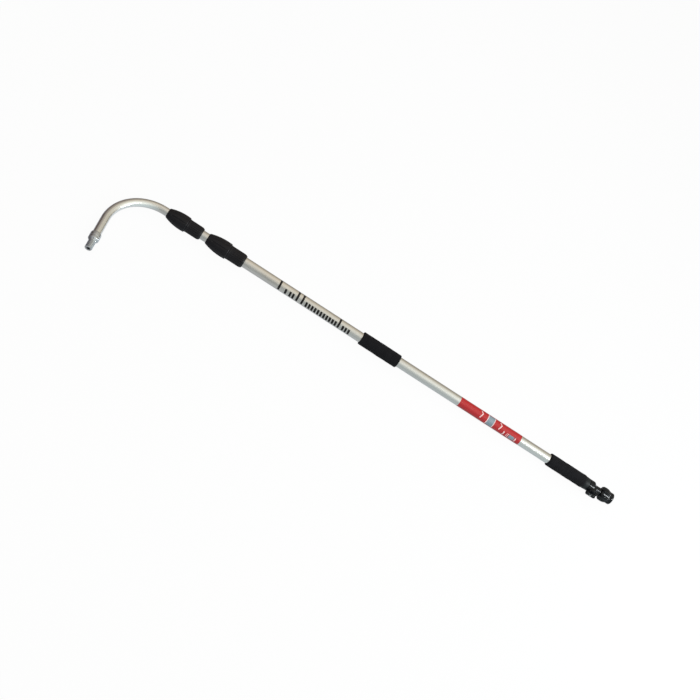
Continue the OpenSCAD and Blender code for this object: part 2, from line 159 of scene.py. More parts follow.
BEND_START = span("upper_lock_collar")[1] + NECK_SHOW
BEND_END = bend_place(BEND_ANGLE)
HEADING = Vector((-math.cos(BEND_ANGLE), -math.sin(BEND_ANGLE), 0))
ACROSS = Vector((-math.sin(BEND_ANGLE), math.cos(BEND_ANGLE), 0))
LEVER_AT = sum(span("valve_lever")) / 2
LEVER_UNDER, LEVER_FACE = -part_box("valve_lever")[1].y, -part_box("valve_lever")[0].y
LEVER_LEN = span("valve_lever")[1] - span("valve_lever")[0]


# ---------------------------------------------------------------- mesh building

def smooth_step(value, low, high):
    t = min(1.0, max(0.0, (value - low) / (high - low)))
    return t * t * (3 - 2 * t)


def window(value, start, end, edge):
    """1 between start and end, falling smoothly to 0 over edge at both."""
    return smooth_step(value, start, start + edge) * (1 - smooth_step(value, end - edge, end))


def new_object(name, mesh):
    obj = bpy.data.objects.new(name, mesh)
    bpy.context.scene.collection.objects.link(obj)
    return obj


def finish_mesh(mesh, sharp_degrees):
    """Outward normals, smooth shading, and hard edges only where the surface turns sharply."""
    work = bmesh.new()
    work.from_mesh(mesh)
    bmesh.ops.recalc_face_normals(work, faces=work.faces)
    work.to_mesh(mesh)
    work.free()
    mesh.polygons.foreach_set("use_smooth", [True] * len(mesh.polygons))
    mesh.set_sharp_from_angle(angle=math.radians(sharp_degrees))
    mesh.update()


def pole_place(along, radius, angle):
    """A point at a distance from the inlet, a radius, and an angle from up toward the lever's side."""
    return (-along, -radius * math.sin(angle), radius * math.cos(angle))


def lever_place(out, radius, angle):
    """A point about the valve stem's axis, which leaves the pole square to it."""
    return (-LEVER_AT + radius * math.cos(angle), -out, radius * math.sin(angle))


def tip_place(along, radius, angle):
    """A point about the neck's straight end, at a distance from the end of the bend."""
    point = BEND_END + HEADING * along + ACROSS * (radius * math.cos(angle))
    return (point.x, point.y, radius * math.sin(angle))


def soften(outline, size=0.0, steps=5):
    """A closed outline of (along, radius) points with rounded corners.

    A third value sets one corner's own size.
    """
    result = []
    count = len(outline)
    for k, point in enumerate(outline):
        cut = point[2] if len(point) > 2 else size
        corner = np.array(point[:2], float)
        if cut <= 0:
            result.append(tuple(corner))
            continue
        before = np.array(outline[k - 1][:2], float) - corner
        after = np.array(outline[(k + 1) % count][:2], float) - corner
        far_before, far_after = np.linalg.norm(before), np.linalg.norm(after)
        start = corner + before / far_before * min(cut, 0.49 * far_before)
        end = corner + after / far_after * min(cut, 0.49 * far_after)
        for i in range(steps + 1):
            t = i / steps
            result.append(tuple((1 - t) ** 2 * start + 2 * t * (1 - t) * corner + t * t * end))
    return result


def refine(outline, step):
    """Adds points so that no stretch of the outline is much longer than step."""
    result = []
    count = len(outline)
    for k, point in enumerate(outline):
        after = outline[(k + 1) % count]
        pieces = max(1, int(math.hypot(after[0] - point[0], after[1] - point[1]) / step))
        for i in range(pieces):
            t = i / pieces
            result.append((point[0] + (after[0] - point[0]) * t, point[1] + (after[1] - point[1]) * t))
    return result


def mesh_object(name, points, faces, flow, sharp):
    """A mesh with, at each vertex, its length along the part and its two places across it."""
    mesh = bpy.data.meshes.new(name)
    mesh.from_pydata(points, [], faces)
    layer = mesh.attributes.new("flow", "FLOAT_VECTOR", "POINT")
    layer.data.foreach_set("vector", np.array(flow, np.float32).ravel())
    finish_mesh(mesh, sharp)
    return new_object(name, mesh)


def revolve(name, outline, shape=None, segments=96, sharp=35, place=pole_place):
    """Turns a closed outline about an axis. shape(along, radius, angle) may change the radius."""
    points, flow, faces = [], [], []
    for along, radius in outline:
        for k in range(segments):
            angle = TURN * k / segments
            r = shape(along, radius, angle) if shape else radius
            points.append(place(along, r, angle))
            flow.append((along, r * math.cos(angle), r * math.sin(angle)))
    rows = len(outline)
    for i in range(rows):
        j = (i + 1) % rows
        for k in range(segments):
            m = (k + 1) % segments
            faces.append((i * segments + k, i * segments + m, j * segments + m, j * segments + k))
    return mesh_object(name, points, faces, flow, sharp)


def apply_modifiers(obj):
    """Turns a piece's modifiers into mesh."""
    graph = bpy.context.evaluated_depsgraph_get()
    mesh = bpy.data.meshes.new_from_object(obj.evaluated_get(graph))
    obj.modifiers.clear()
    obj.data = mesh


def join(name, *objs):
    """Several meshes as one."""
    work = bmesh.new()
    for obj in objs:
        work.from_mesh(obj.data)
        bpy.data.objects.remove(obj)
    mesh = bpy.data.meshes.new(name)
    work.to_mesh(mesh)
    work.free()
    return new_object(name, mesh)


def cut(obj, *tools):
    """Takes tools out of obj."""
    for tool in tools:
        modifier = obj.modifiers.new("cut", "BOOLEAN")
        modifier.operation = "DIFFERENCE"
        modifier.object = tool
        modifier.solver = "EXACT"
    apply_modifiers(obj)
    for tool in tools:
        bpy.data.objects.remove(tool)
    work = bmesh.new()
    work.from_mesh(obj.data)
    bmesh.ops.dissolve_degenerate(work, dist=SLIVER, edges=work.edges)
    bmesh.ops.triangulate(work, faces=[face for face in work.faces if len(face.verts) > 4])
    work.to_mesh(obj.data)
    work.free()


def dress(obj, material, body, slot, *nodes):
    """Gives a piece its material and body, and lets it stand for CAD nodes."""
    obj.data.materials.clear()
    obj.data.materials.append(MATERIALS[material])
    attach(obj, body)
    if nodes:
        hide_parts(*nodes)
    return obj


# ---------------------------------------------------------------- materials

class Nodes:
    """A node tree that is built a step at a time."""

    def __init__(self, tree):
        self.tree = tree

    def put(self, socket, value):
        if isinstance(value, bpy.types.NodeSocket):
            self.tree.links.new(value, socket)
        else:
            socket.default_value = value

    def add(self, kind, inputs=None, **settings):
        node = self.tree.nodes.new(kind)
        for key, value in settings.items():
            setattr(node, key, value)
        for key, value in (inputs or {}).items():
            self.put(node.inputs[key], value)
        return node

    def stretch(self, vector, scale):
        return self.add("ShaderNodeMapping", {"Vector": vector, "Scale": scale}).outputs["Vector"]

    def noise(self, vector, scale, detail=3.0, rough=0.55):
        inputs = {"Vector": vector, "Scale": scale, "Detail": detail, "Roughness": rough}
        return self.add("ShaderNodeTexNoise", inputs).outputs["Fac"]

    def cells(self, vector, scale):
        return self.add("ShaderNodeTexVoronoi", {"Vector": vector, "Scale": scale}).outputs["Distance"]

    def range(self, value, low, high, to_low=0.0, to_high=1.0):
        inputs = {"Value": value, "From Min": low, "From Max": high, "To Min": to_low, "To Max": to_high}
        return self.add("ShaderNodeMapRange", inputs).outputs["Result"]

    def math(self, operation, a, b=0.0):
        return self.add("ShaderNodeMath", {0: a, 1: b}, operation=operation).outputs[0]

    def vector(self, operation, vector, other):
        """Scales a vector, or multiplies it by another one."""
        inputs = {0: vector, "Scale" if operation == "SCALE" else 1: other}
        return self.add("ShaderNodeVectorMath", inputs, operation=operation).outputs[0]

    def mix(self, factor, dark, light):
        node = self.add("ShaderNodeMix", data_type="RGBA")
        self.put(node.inputs[0], factor)
        self.put(node.inputs[6], dark)
        self.put(node.inputs[7], light)
        return node.outputs[2]

    def ramp(self, value, low, high, stops):
        """A colour for a value, given as (value, colour) stops between low and high."""
        node = self.add("ShaderNodeValToRGB", {"Fac": self.range(value, low, high)})
        elements = node.color_ramp.elements
        while len(elements) < len(stops):
            elements.new(0.5)
        for element, (at, colour) in zip(elements, stops):
            element.position = (at - low) / (high - low)
            element.color = tuple(colour) + (1,)
        return node.outputs["Color"]


class Shader(Nodes):
    """A node material around one Principled shader."""

    def __init__(self, name, **values):
        self.material = bpy.data.materials.new(name)
        self.material.use_nodes = True
        super().__init__(self.material.node_tree)
        self.bsdf = self.tree.nodes["Principled BSDF"]
        self.set(**values)

    def flow(self):
        return self.add("ShaderNodeAttribute", attribute_name="flow").outputs["Vector"]

    def position(self):
        return self.add("ShaderNodeTexCoord").outputs["Object"]

    def edges(self, low, high):
        """1 along convex edges, where a surface rubs first, and 0 in hollows, where shade falls."""
        return self.range(self.add("ShaderNodeNewGeometry").outputs["Pointiness"], low, high)

    def bump(self, height, distance, strength=1.0, under=None):
        inputs = {"Height": height, "Distance": distance, "Strength": strength}
        if under is not None:
            inputs["Normal"] = under
        return self.add("ShaderNodeBump", inputs).outputs["Normal"]

    def set(self, **values):
        for key, value in values.items():
            self.put(self.bsdf.inputs[key.replace("_", " ")], value)
        return self.material


def drawn_aluminium():
    """Satin tube with fine drawing lines along it, faint smudges and a few long scratches."""
    s = Shader("drawn_aluminium", Metallic=1.0)
    flow = s.flow()
    fine = s.noise(s.stretch(flow, (14.0, 2400.0, 2400.0)), 1.0, 2.0)
    broad = s.noise(s.stretch(flow, (3.0, 330.0, 330.0)), 1.0, 2.0)
    smudge = s.noise(s.stretch(flow, (18.0, 60.0, 60.0)), 1.0, 5.0, 0.6)
    scratch = s.range(s.noise(s.stretch(flow, (9.0, 900.0, 900.0)), 1.0, 0.0), 0.74, 0.78)
    tone = s.mix(broad, (0.74, 0.74, 0.72, 1), (0.92, 0.92, 0.90, 1))
    colour = s.mix(s.range(smudge, 0.45, 0.8, 0.0, 0.35), tone, (0.62, 0.61, 0.58, 1))
    rough = s.math("ADD", s.range(fine, 0.3, 0.7, 0.22, 0.32), s.range(smudge, 0.4, 0.7, 0.0, 0.08))
    lines = s.bump(fine, 0.00002, 0.5)
    return s.set(Base_Color=colour, Roughness=rough, Normal=s.bump(scratch, -0.00002, 0.6, lines))


def foam_rubber():
    """Closed-cell foam: a matt black skin with small open pores, painted darker as shade inside them."""
    s = Shader("foam_rubber", Sheen_Weight=0.02, Sheen_Roughness=0.5, Specular_IOR_Level=0.11)
    place = s.position()
    pores = s.range(s.cells(place, 1100.0), 0.0, 0.55)
    grain = s.noise(place, 700.0, 4.0, 0.7)
    skin = s.mix(s.noise(place, 60.0, 3.0), (0.004, 0.004, 0.005, 1), (0.011, 0.011, 0.013, 1))
    # Painted shade: the pores are coloured near black, darker than the skin, as the shade inside the holes
    colour = s.mix(s.range(pores, 0.0, 0.35), (0.001, 0.001, 0.001, 1), skin)
    normal = s.bump(pores, 0.00025, 0.9, s.bump(grain, 0.0003, 0.7))
    return s.set(Base_Color=colour, Roughness=s.range(grain, 0.3, 0.7, 0.75, 0.95), Normal=normal)


def moulded(name, dark, light, rough, grain_depth, shine):
    """Moulded plastic: fine spark-eroded grain, handling sheen, and edges rubbed a little paler."""
    s = Shader(name, Specular_IOR_Level=shine)
    place = s.position()
    grain = s.noise(place, 2600.0, 3.0, 0.7)
    ripple = s.noise(place, 240.0, 2.0)
    handled = s.noise(place, 55.0, 4.0, 0.6)
    rubbed = tuple(2.6 * c + 0.01 for c in light[:3]) + (1.0,)
    worn = s.math("MULTIPLY", s.edges(0.52, 0.60), s.range(handled, 0.35, 0.7))
    normal = s.bump(grain, grain_depth, 0.6, s.bump(ripple, 0.00008, 0.25))
    return s.set(Base_Color=s.mix(worn, s.mix(handled, dark, light), rubbed), Normal=normal,
                 Roughness=s.range(handled, 0.35, 0.7, rough, rough + 0.15))


def turned_metal():
    """Turned alloy with fine rings left by the tool, and painted shade that darkens its hollows."""
    s = Shader("turned_metal", Metallic=0.9)
    flow = s.flow()
    rings = s.noise(s.stretch(flow, (5200.0, 40.0, 40.0)), 1.0, 1.0)
    stain = s.noise(flow, 130.0, 4.0, 0.6)
    metal = s.mix(stain, (0.46, 0.48, 0.50, 1), (0.74, 0.77, 0.80, 1))
    # Painted shade: where the surface curves inward, as in the thread's roots, the colour goes to dark grey
    colour = s.mix(s.edges(0.42, 0.52), (0.12, 0.12, 0.12, 1), metal)
    rough = s.math("ADD", s.range(stain, 0.3, 0.7, 0.17, 0.28), s.range(rings, 0.3, 0.7, -0.03, 0.05))
    return s.set(Base_Color=colour, Roughness=rough, Normal=s.bump(rings, 0.00002, 0.6))


def printed(name, ink, rough, gloss):
    """Printed film or ink: an even colour with a faint mottle, small scuffs and a clear coat."""
    s = Shader(name, Coat_Weight=gloss, Coat_IOR=1.9, Coat_Roughness=0.13, Specular_IOR_Level=0.1)
    place = s.position()
    mottle = s.noise(place, 900.0, 3.0)
    scuff = s.range(s.noise(s.stretch(place, (90.0, 600.0, 600.0)), 1.0, 3.0), 0.62, 0.72)
    deep = tuple(0.86 * c for c in ink[:3]) + (1.0,)
    pale = tuple(c + (1.0 - c) * 0.12 for c in ink[:3]) + (1.0,)
    colour = s.mix(s.math("MULTIPLY", scuff, 0.5), s.mix(mottle, deep, ink), pale)
    return s.set(Base_Color=colour, Roughness=s.range(mottle, 0.3, 0.7, rough - 0.04, rough + 0.06),
                 Normal=s.bump(s.noise(place, 70.0, 2.0), 0.0001, 0.25))


def inner_part(name, dark, light, rough, metallic, scale):
    """Small inner part: a tone that varies, with a fine bump from its making."""
    s = Shader(name, Metallic=metallic)
    place = s.position()
    tone = s.noise(place, scale, 4.0, 0.6)
    return s.set(Base_Color=s.mix(tone, dark, light),
                 Roughness=s.range(tone, 0.3, 0.7, rough - 0.06, rough + 0.08),
                 Normal=s.bump(s.noise(place, scale * 14, 2.0), 0.00003, 0.5))


MATERIALS = {
    "tube": drawn_aluminium(),
    "foam": foam_rubber(),
    "lock_black": moulded(
        "lock_plastic", (0.003, 0.003, 0.004, 1), (0.008, 0.007, 0.010, 1), 0.36, 0.00006, 0.28),
    "fitting_dark": moulded(
        "fitting_plastic", (0.006, 0.008, 0.009, 1), (0.015, 0.018, 0.020, 1), 0.42, 0.00006, 0.25),
    "hose_black": moulded(
        "hose_plastic", (0.001, 0.002, 0.003, 1), (0.003, 0.004, 0.006, 1), 0.14, 0.00002, 0.3),
    "tip_metal": turned_metal(),
    "label": printed("label_film", (0.42, 0.004, 0.008, 1), 0.34, 0.55),
    "label_white": printed("label_white_ink", (0.82, 0.60, 0.60, 1), 0.34, 0.4),
    "label_grey": printed("label_grey_ink", (0.20, 0.27, 0.32, 1), 0.34, 1.0),
    "ink": printed("black_ink", (0.008, 0.007, 0.007, 1), 0.42, 0.15),
    "nylon": inner_part("nylon", (0.72, 0.71, 0.66, 1), (0.85, 0.84, 0.79, 1), 0.45, 0.0, 180.0),
    "seal": inner_part("seal_rubber", (0.010, 0.010, 0.010, 1), (0.028, 0.028, 0.028, 1), 0.6, 0.0, 260.0),
    "brass": inner_part("brass", (0.60, 0.42, 0.17, 1), (0.80, 0.62, 0.30, 1), 0.26, 1.0, 220.0),
    "steel": inner_part("zinc_plate", (0.50, 0.50, 0.50, 1), (0.68, 0.68, 0.67, 1), 0.3, 1.0, 240.0),
}


def paint_cad_nodes():
    """Every CAD node gets the material of its slot. Those with a finer piece are hidden later."""
    for part in frame["record"]["subparts"]:
        obj = frame["nodes"][part["node"]]
        obj.data.materials.clear()
        obj.data.materials.append(MATERIALS[part["material_slot"]])


# ---------------------------------------------------------------- tubes

def straight_tube(node, body, radius):
    start, end = span(node)
    bore = radius - WALL
    outline = soften([(start, bore), (start, radius), (end, radius), (end, bore)], 0.3 * MM, 2)
    dress(revolve(node + "_skin", refine(outline, 60 * MM)), "tube", body, "tube", node)


def neck_stations():
    """The neck's centre line: place, angle turned through, length so far."""
    start = span("neck_tube")[0]
    stations = [(Vector((-start, 0, 0)), 0.0, start)]
    steps = 72
    for k in range(steps + 1):
        turned = BEND_ANGLE * k / steps
        stations.append((bend_place(turned), turned, BEND_START + BEND_R * turned))
    length = BEND_START + BEND_R * BEND_ANGLE + NECK_STRAIGHT
    stations.append((BEND_END + HEADING * NECK_STRAIGHT, BEND_ANGLE, length))
    return stations


def neck_tube():
    """The bent tube, swept along its centre line and hollow from end to end."""
    stations = neck_stations()
    rings = [(NECK_R, s) for s in stations] + [(NECK_R - WALL, s) for s in reversed(stations)]
    segments = 96
    points, flow, faces = [], [], []
    for radius, (place, turned, along) in rings:
        across = Vector((-math.sin(turned), math.cos(turned), 0))
        for k in range(segments):
            angle = TURN * k / segments
            y, z = radius * math.cos(angle), radius * math.sin(angle)
            points.append(place + across * y + Vector((0, 0, z)))
            flow.append((along, y, z))
    for i in range(len(rings)):
        j = (i + 1) % len(rings)
        for k in range(segments):
            m = (k + 1) % segments
            faces.append((i * segments + k, i * segments + m, j * segments + m, j * segments + k))
    dress(mesh_object("neck_tube_skin", points, faces, flow, 35), "tube", "neck", "tube", "neck_tube")


# ---------------------------------------------------------------- grips, label and prints

def foam_sleeve(node, seed):
    """Foam sleeve: slightly lumpy, pressed in at its ends where it was cut, with soft edges."""
    start, end = span(node)
    radius = reach(node)
    corner = 3.2 * MM
    lump_depth, swell = 0.35 * MM, 0.25 * MM
    lumps_along, lumps_round = 45, 1.3
    outline = soften([(start, OUTER_R), (start, radius, corner), (end, radius, corner), (end, OUTER_R)])

    def shape(along, r, angle):
        if r < OUTER_R + 0.5 * MM:
            return OUTER_R + PRESSED
        up, out = math.cos(angle) * lumps_round, math.sin(angle) * lumps_round
        spot = Vector((along * lumps_along, up, out + seed))
        return r + noise.fractal(spot, 0.8, 2.0, 3) * lump_depth + swell

    dress(revolve(node + "_foam", refine(outline, 1.6 * MM), shape, 120, 50), "foam", "handle", "foam", node)


def label_sleeve():
    """Printed film around the tube. Its overlap runs along the side away from the camera."""
    start, end = span("label_band")
    surface = reach("label_band")
    seam = FACING + math.pi
    overlap, overlap_sweep = 0.12 * MM, 0.5

    def shape(along, r, angle):
        turned = (angle - seam + math.pi) % TURN - math.pi
        return r + (overlap if r > OUTER_R + 0.1 * MM and 0 < turned < overlap_sweep else 0)

    outline = [(start, OUTER_R), (start, surface), (end, surface), (end, OUTER_R)]
    film = revolve("label_film", refine(outline, 20 * MM), shape, 120, 35)
    dress(film, "label", "handle", "label", "label_band")


def patch(points, faces, radius, start, end, path):
    """Adds a thin closed piece of film that hugs a tube, from start to end along it.

    path gives the places round it as (degrees from the camera's side, shift along the tube).
    """
    base = len(points)
    turns, shifts = [turn for turn, _ in path], [shift for _, shift in path]
    count = max(2, math.ceil((turns[-1] - turns[0]) / 4))
    for layer in (radius - PRINT_UNDER, radius + PRINT_OVER):
        for i in range(count + 1):
            turn = turns[0] + (turns[-1] - turns[0]) * i / count
            shift = float(np.interp(turn, turns, shifts))
            for along in (start + shift, end + shift):
                points.append(pole_place(along, layer, FACING + math.radians(turn)))
    top = 2 * (count + 1)
    for i in range(count):
        a = base + 2 * i
        faces.append((a, a + 1, a + 3, a + 2))
        faces.append((a + top, a + top + 2, a + top + 3, a + top + 1))
        faces.append((a, a + 2, a + top + 2, a + top))
        faces.append((a + 1, a + top + 1, a + top + 3, a + 3))
    last = base + 2 * count
    faces.append((base, base + top, base + top + 1, base + 1))
    faces.append((last, last + 1, last + top + 1, last + top))


def print_marks(name, material, slot, radius, marks):
    """Marks given as (start, length, path round the tube)."""
    points, faces = [], []
    for start, length, path in marks:
        patch(points, faces, radius, start, start + length, path)
    flow = [(p[0], p[1], p[2]) for p in points]
    dress(mesh_object(name, points, faces, flow, 50), material, "handle", slot)


def tube_marks():
    """Plain bars on the handle tube: groups of short ones, parted by tall ones that go further round."""
    marks = []
    for places, length, low in ((SHORT_BARS, 6.0 * MM, -3), (TALL_BARS, 5.8 * MM, -66)):
        path = [(low, BARS_LEAN), (60, -BARS_LEAN)]
        marks += [(BARS_START + place * BARS_PITCH, length, path) for place in places]
    print_marks("tube_print", "ink", "label", OUTER_R, marks)


def label_marks():
    """Generic graphics on the label: two bent bars, a grey panel with pale edges and a small bar chart."""
    start = span("label_band")[0]
    surface = reach("label_band")
    panel, chart = [(-PANEL_SWEEP, 0), (PANEL_SWEEP, 0)], [(turn, 0) for turn in CHART_SWEEP]

    def marks(places, path):
        return [(start + at, length, path) for at, length in places]

    white = marks(CHEVRONS, CHEVRON_BEND) + marks(PANEL_EDGES, panel) + marks(CHART_BARS, chart)
    grey = marks([PANEL], panel) + marks([CHART], chart)
    print_marks("label_white_print", "label_white", "label", surface, white)
    print_marks("label_grey_print", "label_grey", "label", surface, grey)


# ---------------------------------------------------------------- valve and hose end

def groove(start, edges, surface, depth):
    """Outline points of a shallow turned groove, between two distances from start."""
    first, last = start + edges[0], start + edges[1]
    slope = 0.4 * MM
    return [(first, surface, 0.3 * MM), (first + slope, surface - depth, 0.2 * MM),
            (last - slope, surface - depth, 0.2 * MM), (last, surface, 0.3 * MM)]


def adapter_collar():
    """Plastic skirt and plug that join the valve to the handle tube."""
    start, end = span("adapter_collar")
    skirt_end = span("bottom_grip")[0]
    skirt = reach("adapter_collar")
    bore = OUTER_R - WALL
    outline = soften([
        (start, NIPPLE_R + PRESSED), (start, skirt - 1.0 * MM, 2.2 * MM),
        (start + SKIRT_FRONT, skirt, 2.5 * MM),
        *groove(start, SKIRT_GROOVE, skirt, SKIRT_GROOVE_DEPTH),
        (skirt_end, skirt - 0.3 * MM, 1.0 * MM), (skirt_end, OUTER_R + PRESSED),
        (start + SKIRT_BOTTOM, OUTER_R + PRESSED), (start + SKIRT_BOTTOM, bore), (end, bore, 0.5 * MM),
        (end, PLUG_BORE_R), (start + NIPPLE_BOTTOM, PLUG_BORE_R), (start + NIPPLE_BOTTOM, NIPPLE_R + PRESSED),
    ])
    dress(revolve("adapter_skirt", outline), "fitting_dark", "handle", "fitting_dark", "adapter_collar")


def valve_web():
    """The web between boss and neck: a slab whose outer corner toward the hose is cut back."""
    outer, shoulder, cut_back = BOSS_REACH - 1 * MM, 15 * MM, 4 * MM
    profile = [
        (WEB_START, 0), (WEB_START, shoulder), (WEB_START + cut_back, outer), (BALL_AT, outer), (BALL_AT, 0),
    ]
    points = [(-along, -out, side * WEB_T / 2) for side in (-1, 1) for along, out in profile]
    count = len(profile)
    faces = [tuple(range(count)), tuple(range(2 * count - 1, count - 1, -1))]
    faces += [(k, (k + 1) % count, count + (k + 1) % count, count + k) for k in range(count)]
    return mesh_object("valve_web", points, faces, points, 30)


def melt(obj, voxel, factor, rounds):
    """Fuses a joined mesh into one skin, and softens it so that its inner corners become fillets."""
    remesh = obj.modifiers.new("remesh", "REMESH")
    remesh.mode = "VOXEL"
    remesh.voxel_size = voxel
    smooth = obj.modifiers.new("smooth", "SMOOTH")
    smooth.factor = factor
    smooth.iterations = rounds
    apply_modifiers(obj)


def valve_body():
    """Moulded tee: a neck that swells into the ball's housing, and a boss for the stem, with soft fillets."""
    start, nipple_end = span("valve_body")
    end = span("adapter_collar")[0]
    house = reach("valve_body")
    swell = house - VALVE_NECK_R
    tee = revolve("valve_barrel", [
        (start, 0), (start, VALVE_NECK_R), (VALVE_CONE, VALVE_NECK_R),
        (VALVE_CONE + 0.25 * VALVE_CONE_LEN, VALVE_NECK_R + 0.2 * swell),
        (VALVE_CONE + 0.8 * VALVE_CONE_LEN, house - 0.6 * MM), (VALVE_CONE + VALVE_CONE_LEN, house),
        (end - 0.5 * MM, house), (end, house - 0.4 * MM),
        (end, NIPPLE_R), (nipple_end, NIPPLE_R), (nipple_end, 0),
    ], segments=96)
    boss = revolve("valve_boss", [
        (0, 0), (0, BOSS_R - 3 * MM), (4 * MM, BOSS_R), (BOSS_REACH, BOSS_R), (BOSS_REACH, 0),
    ], segments=72, place=lever_place)
    body = join("valve_moulding", tee, boss, valve_web())
    melt(body, 0.4 * MM, 0.5, 6)
    deep = BALL_AT + SEAT_REACH
    way = revolve("valve_way", [
        (start - 1 * MM, 0), (start - 1 * MM, SPIGOT_R), (deep, SPIGOT_R), (deep, WATER_R),
        (nipple_end + 1 * MM, WATER_R), (nipple_end + 1 * MM, 0),
    ], segments=64)
    stem_way = revolve("stem_way", [
        (0, 0), (0, STEM_FLANGE_R), (STEM_FLANGE_OUT, STEM_FLANGE_R), (STEM_FLANGE_OUT, STEM_R),
        (BOSS_REACH + 2 * MM, STEM_R), (BOSS_REACH + 2 * MM, 0),
    ], segments=48, place=lever_place)
    cut(body, way, stem_way)
    finish_mesh(body.data, 50)
    dress(body, "hose_black", "handle", "fitting_dark", "valve_body")


def lever_outline(angle):
    """Distance to the lever's edge: a round hub with a bar through it along the pole."""
    along, across = abs(math.cos(angle)), abs(math.sin(angle))
    reach_end = LEVER_LEN / 2 - LEVER_BAR_R
    side = LEVER_BAR_R / across if across > 1e-6 else 1.0
    if side * along > reach_end:
        side = reach_end * along + math.sqrt(LEVER_BAR_R ** 2 - (reach_end * across) ** 2)
    return max(LEVER_HUB_R, side)


def lever_rib(offset):
    """A low rounded rib across the lever's bar, for the thumb."""
    bpy.ops.mesh.primitive_uv_sphere_add(segments=16, ring_count=10, radius=1.0)
    rib = bpy.context.object
    middle = Vector((-LEVER_AT + offset, -LEVER_FACE + 0.2 * MM, 0))
    half = Vector((0.75 * MM, 0.8 * MM, 3.3 * MM))
    rib.data.transform(Matrix.LocRotScale(middle, None, half))
    return rib


def valve_lever():
    """The lever: hub and bar with rounded edges, a recess for its screw and thumb ribs at both ends."""
    recess = LEVER_FACE - SCREW_DEPTH

    def shape(out, radius, angle):
        return lever_outline(angle) - (LEVER_HUB_R - radius) if radius > 4 * MM else radius

    outline = soften([
        (LEVER_UNDER, SCREW_R), (LEVER_UNDER, LEVER_HUB_R, 0.8 * MM), (LEVER_FACE, LEVER_HUB_R, 1.8 * MM),
        (LEVER_FACE, SCREW_HEAD_R + 0.1 * MM, 0.3 * MM), (recess, SCREW_HEAD_R), (recess, SCREW_R),
    ])
    bar = revolve("lever_bar", outline, shape, 144, 40, lever_place)
    lever = join("lever_moulding", bar, *[lever_rib(side * at) for side in (-1, 1) for at in LEVER_RIBS])
    finish_mesh(lever.data, 40)
    dress(lever, "hose_black", "lever", "fitting_dark", "valve_lever")


# The nut's radius along its lobes and between them, both in millimetres
NUT_CREST = [
    (0, 15.6), (0.8, 16.5), (2, 16.8), (6, 16.8), (9, 16.5), (12, 17.2), (17, 19.2),
    (22, 20.2), (28, 20.3), (33, 19.8), (36, 18.0), (37.4, 16.4), (38, 15.0),
]
NUT_VALLEY = [
    (0, 15.6), (0.8, 16.5), (2, 16.8), (6, 16.7), (8, 15.9), (12, 15.4), (30, 15.3), (36, 14.8), (38, 14.0),
]


def curve_at(points, along):
    """The radius on a curve of millimetre points, at a distance in metres."""
    return float(np.interp(along / MM, [p[0] for p in points], [p[1] for p in points])) * MM


def thread_wave(along, angle, pitch, flat=0.35):
    """A right-hand thread's profile: 0 in its root and 1 on its crest."""
    turn = (along / pitch + angle / TURN) % 1.0
    return min(1.0, max(0.0, (abs(turn - 0.5) * 2 - flat / 2) / (1 - flat)))


def hose_nut():
    """Swivel nut with six swelling lobes, a rounded mouth and a helical female hose thread."""
    length = span("hose_nut")[1]
    outline = [(along * MM, r * MM) for along, r in NUT_CREST] + [
        (length, NUT_REAR_R), (length, SPIGOT_R + GAP), (NUT_RELIEF_END, SPIGOT_R + GAP),
        (NUT_RELIEF_END, NUT_RELIEF_R), (NUT_THREAD_DEPTH, NUT_RELIEF_R),
    ]
    steps = 72
    outline += [(NUT_THREAD_DEPTH * (1 - k / steps), NUT_THREAD_R) for k in range(steps)]
    near = 0.01 * MM

    def shape(along, radius, angle):
        threaded = along < NUT_THREAD_DEPTH + near and radius <= NUT_THREAD_R + near
        if threaded:
            depth = (NUT_THREAD_ROOT_R - NUT_THREAD_R) * smooth_step(along, -0.5 * MM, 1.5 * MM)
            return NUT_THREAD_R + depth * (1 - thread_wave(along, angle, NUT_PITCH))
        if radius < NUT_RELIEF_R + 0.1 * MM:
            return radius
        lobe = smooth_step(math.cos(NUT_LOBES * angle), -0.35, 0.7)
        crest, valley = curve_at(NUT_CREST, along), curve_at(NUT_VALLEY, along)
        return min(radius, valley + (crest - valley) * lobe)

    nut = revolve("hose_nut_moulding", refine(outline, 0.8 * MM), shape, 180, 40)
    dress(nut, "hose_black", "hose_nut", "hose_black", "hose_nut")


# ---------------------------------------------------------------- twist locks

def lock_body(node, body, bore, inner):
    """Ferrule on the end of the wider tube: rounded, ribbed, with a threaded snout under the collar."""
    start, end = span(node)
    rear = reach(node)
    seam = end - SOCKET_LEN
    snout, bead = rear - SNOUT_IN, rear + 0.5 * MM
    socket, sliding = inner + SOCKET_T, inner + GAP
    outline = soften([
        (start, bore), (start, bore + 2.2 * MM, 1.0 * MM), (start + 5 * MM, rear, 4.5 * MM),
        (seam - 3.5 * MM, rear, 0.8 * MM), (seam - 3.0 * MM, bead, 0.4 * MM), (seam, bead, 0.5 * MM),
        (seam, snout), (end, snout, 0.8 * MM), (end, socket), (seam + COLLET_GAP, socket),
        (seam + COLLET_GAP, sliding), (seam - 0.5 * MM, sliding), (seam - 0.5 * MM, bore),
    ])

    def shape(along, radius, angle):
        if radius < snout + 0.5 * MM:
            return radius
        depth = RIB_DEPTH * window(along, start + 5 * MM, seam - 4 * MM, 2.5 * MM)
        return radius - depth * smooth_step(math.cos(2 * FLUTES * angle), 0.1, 0.9)

    ferrule = revolve(node + "_ferrule", refine(outline, 1.5 * MM), shape, 200, 45)
    dress(ferrule, "lock_black", body, "lock_black", node)


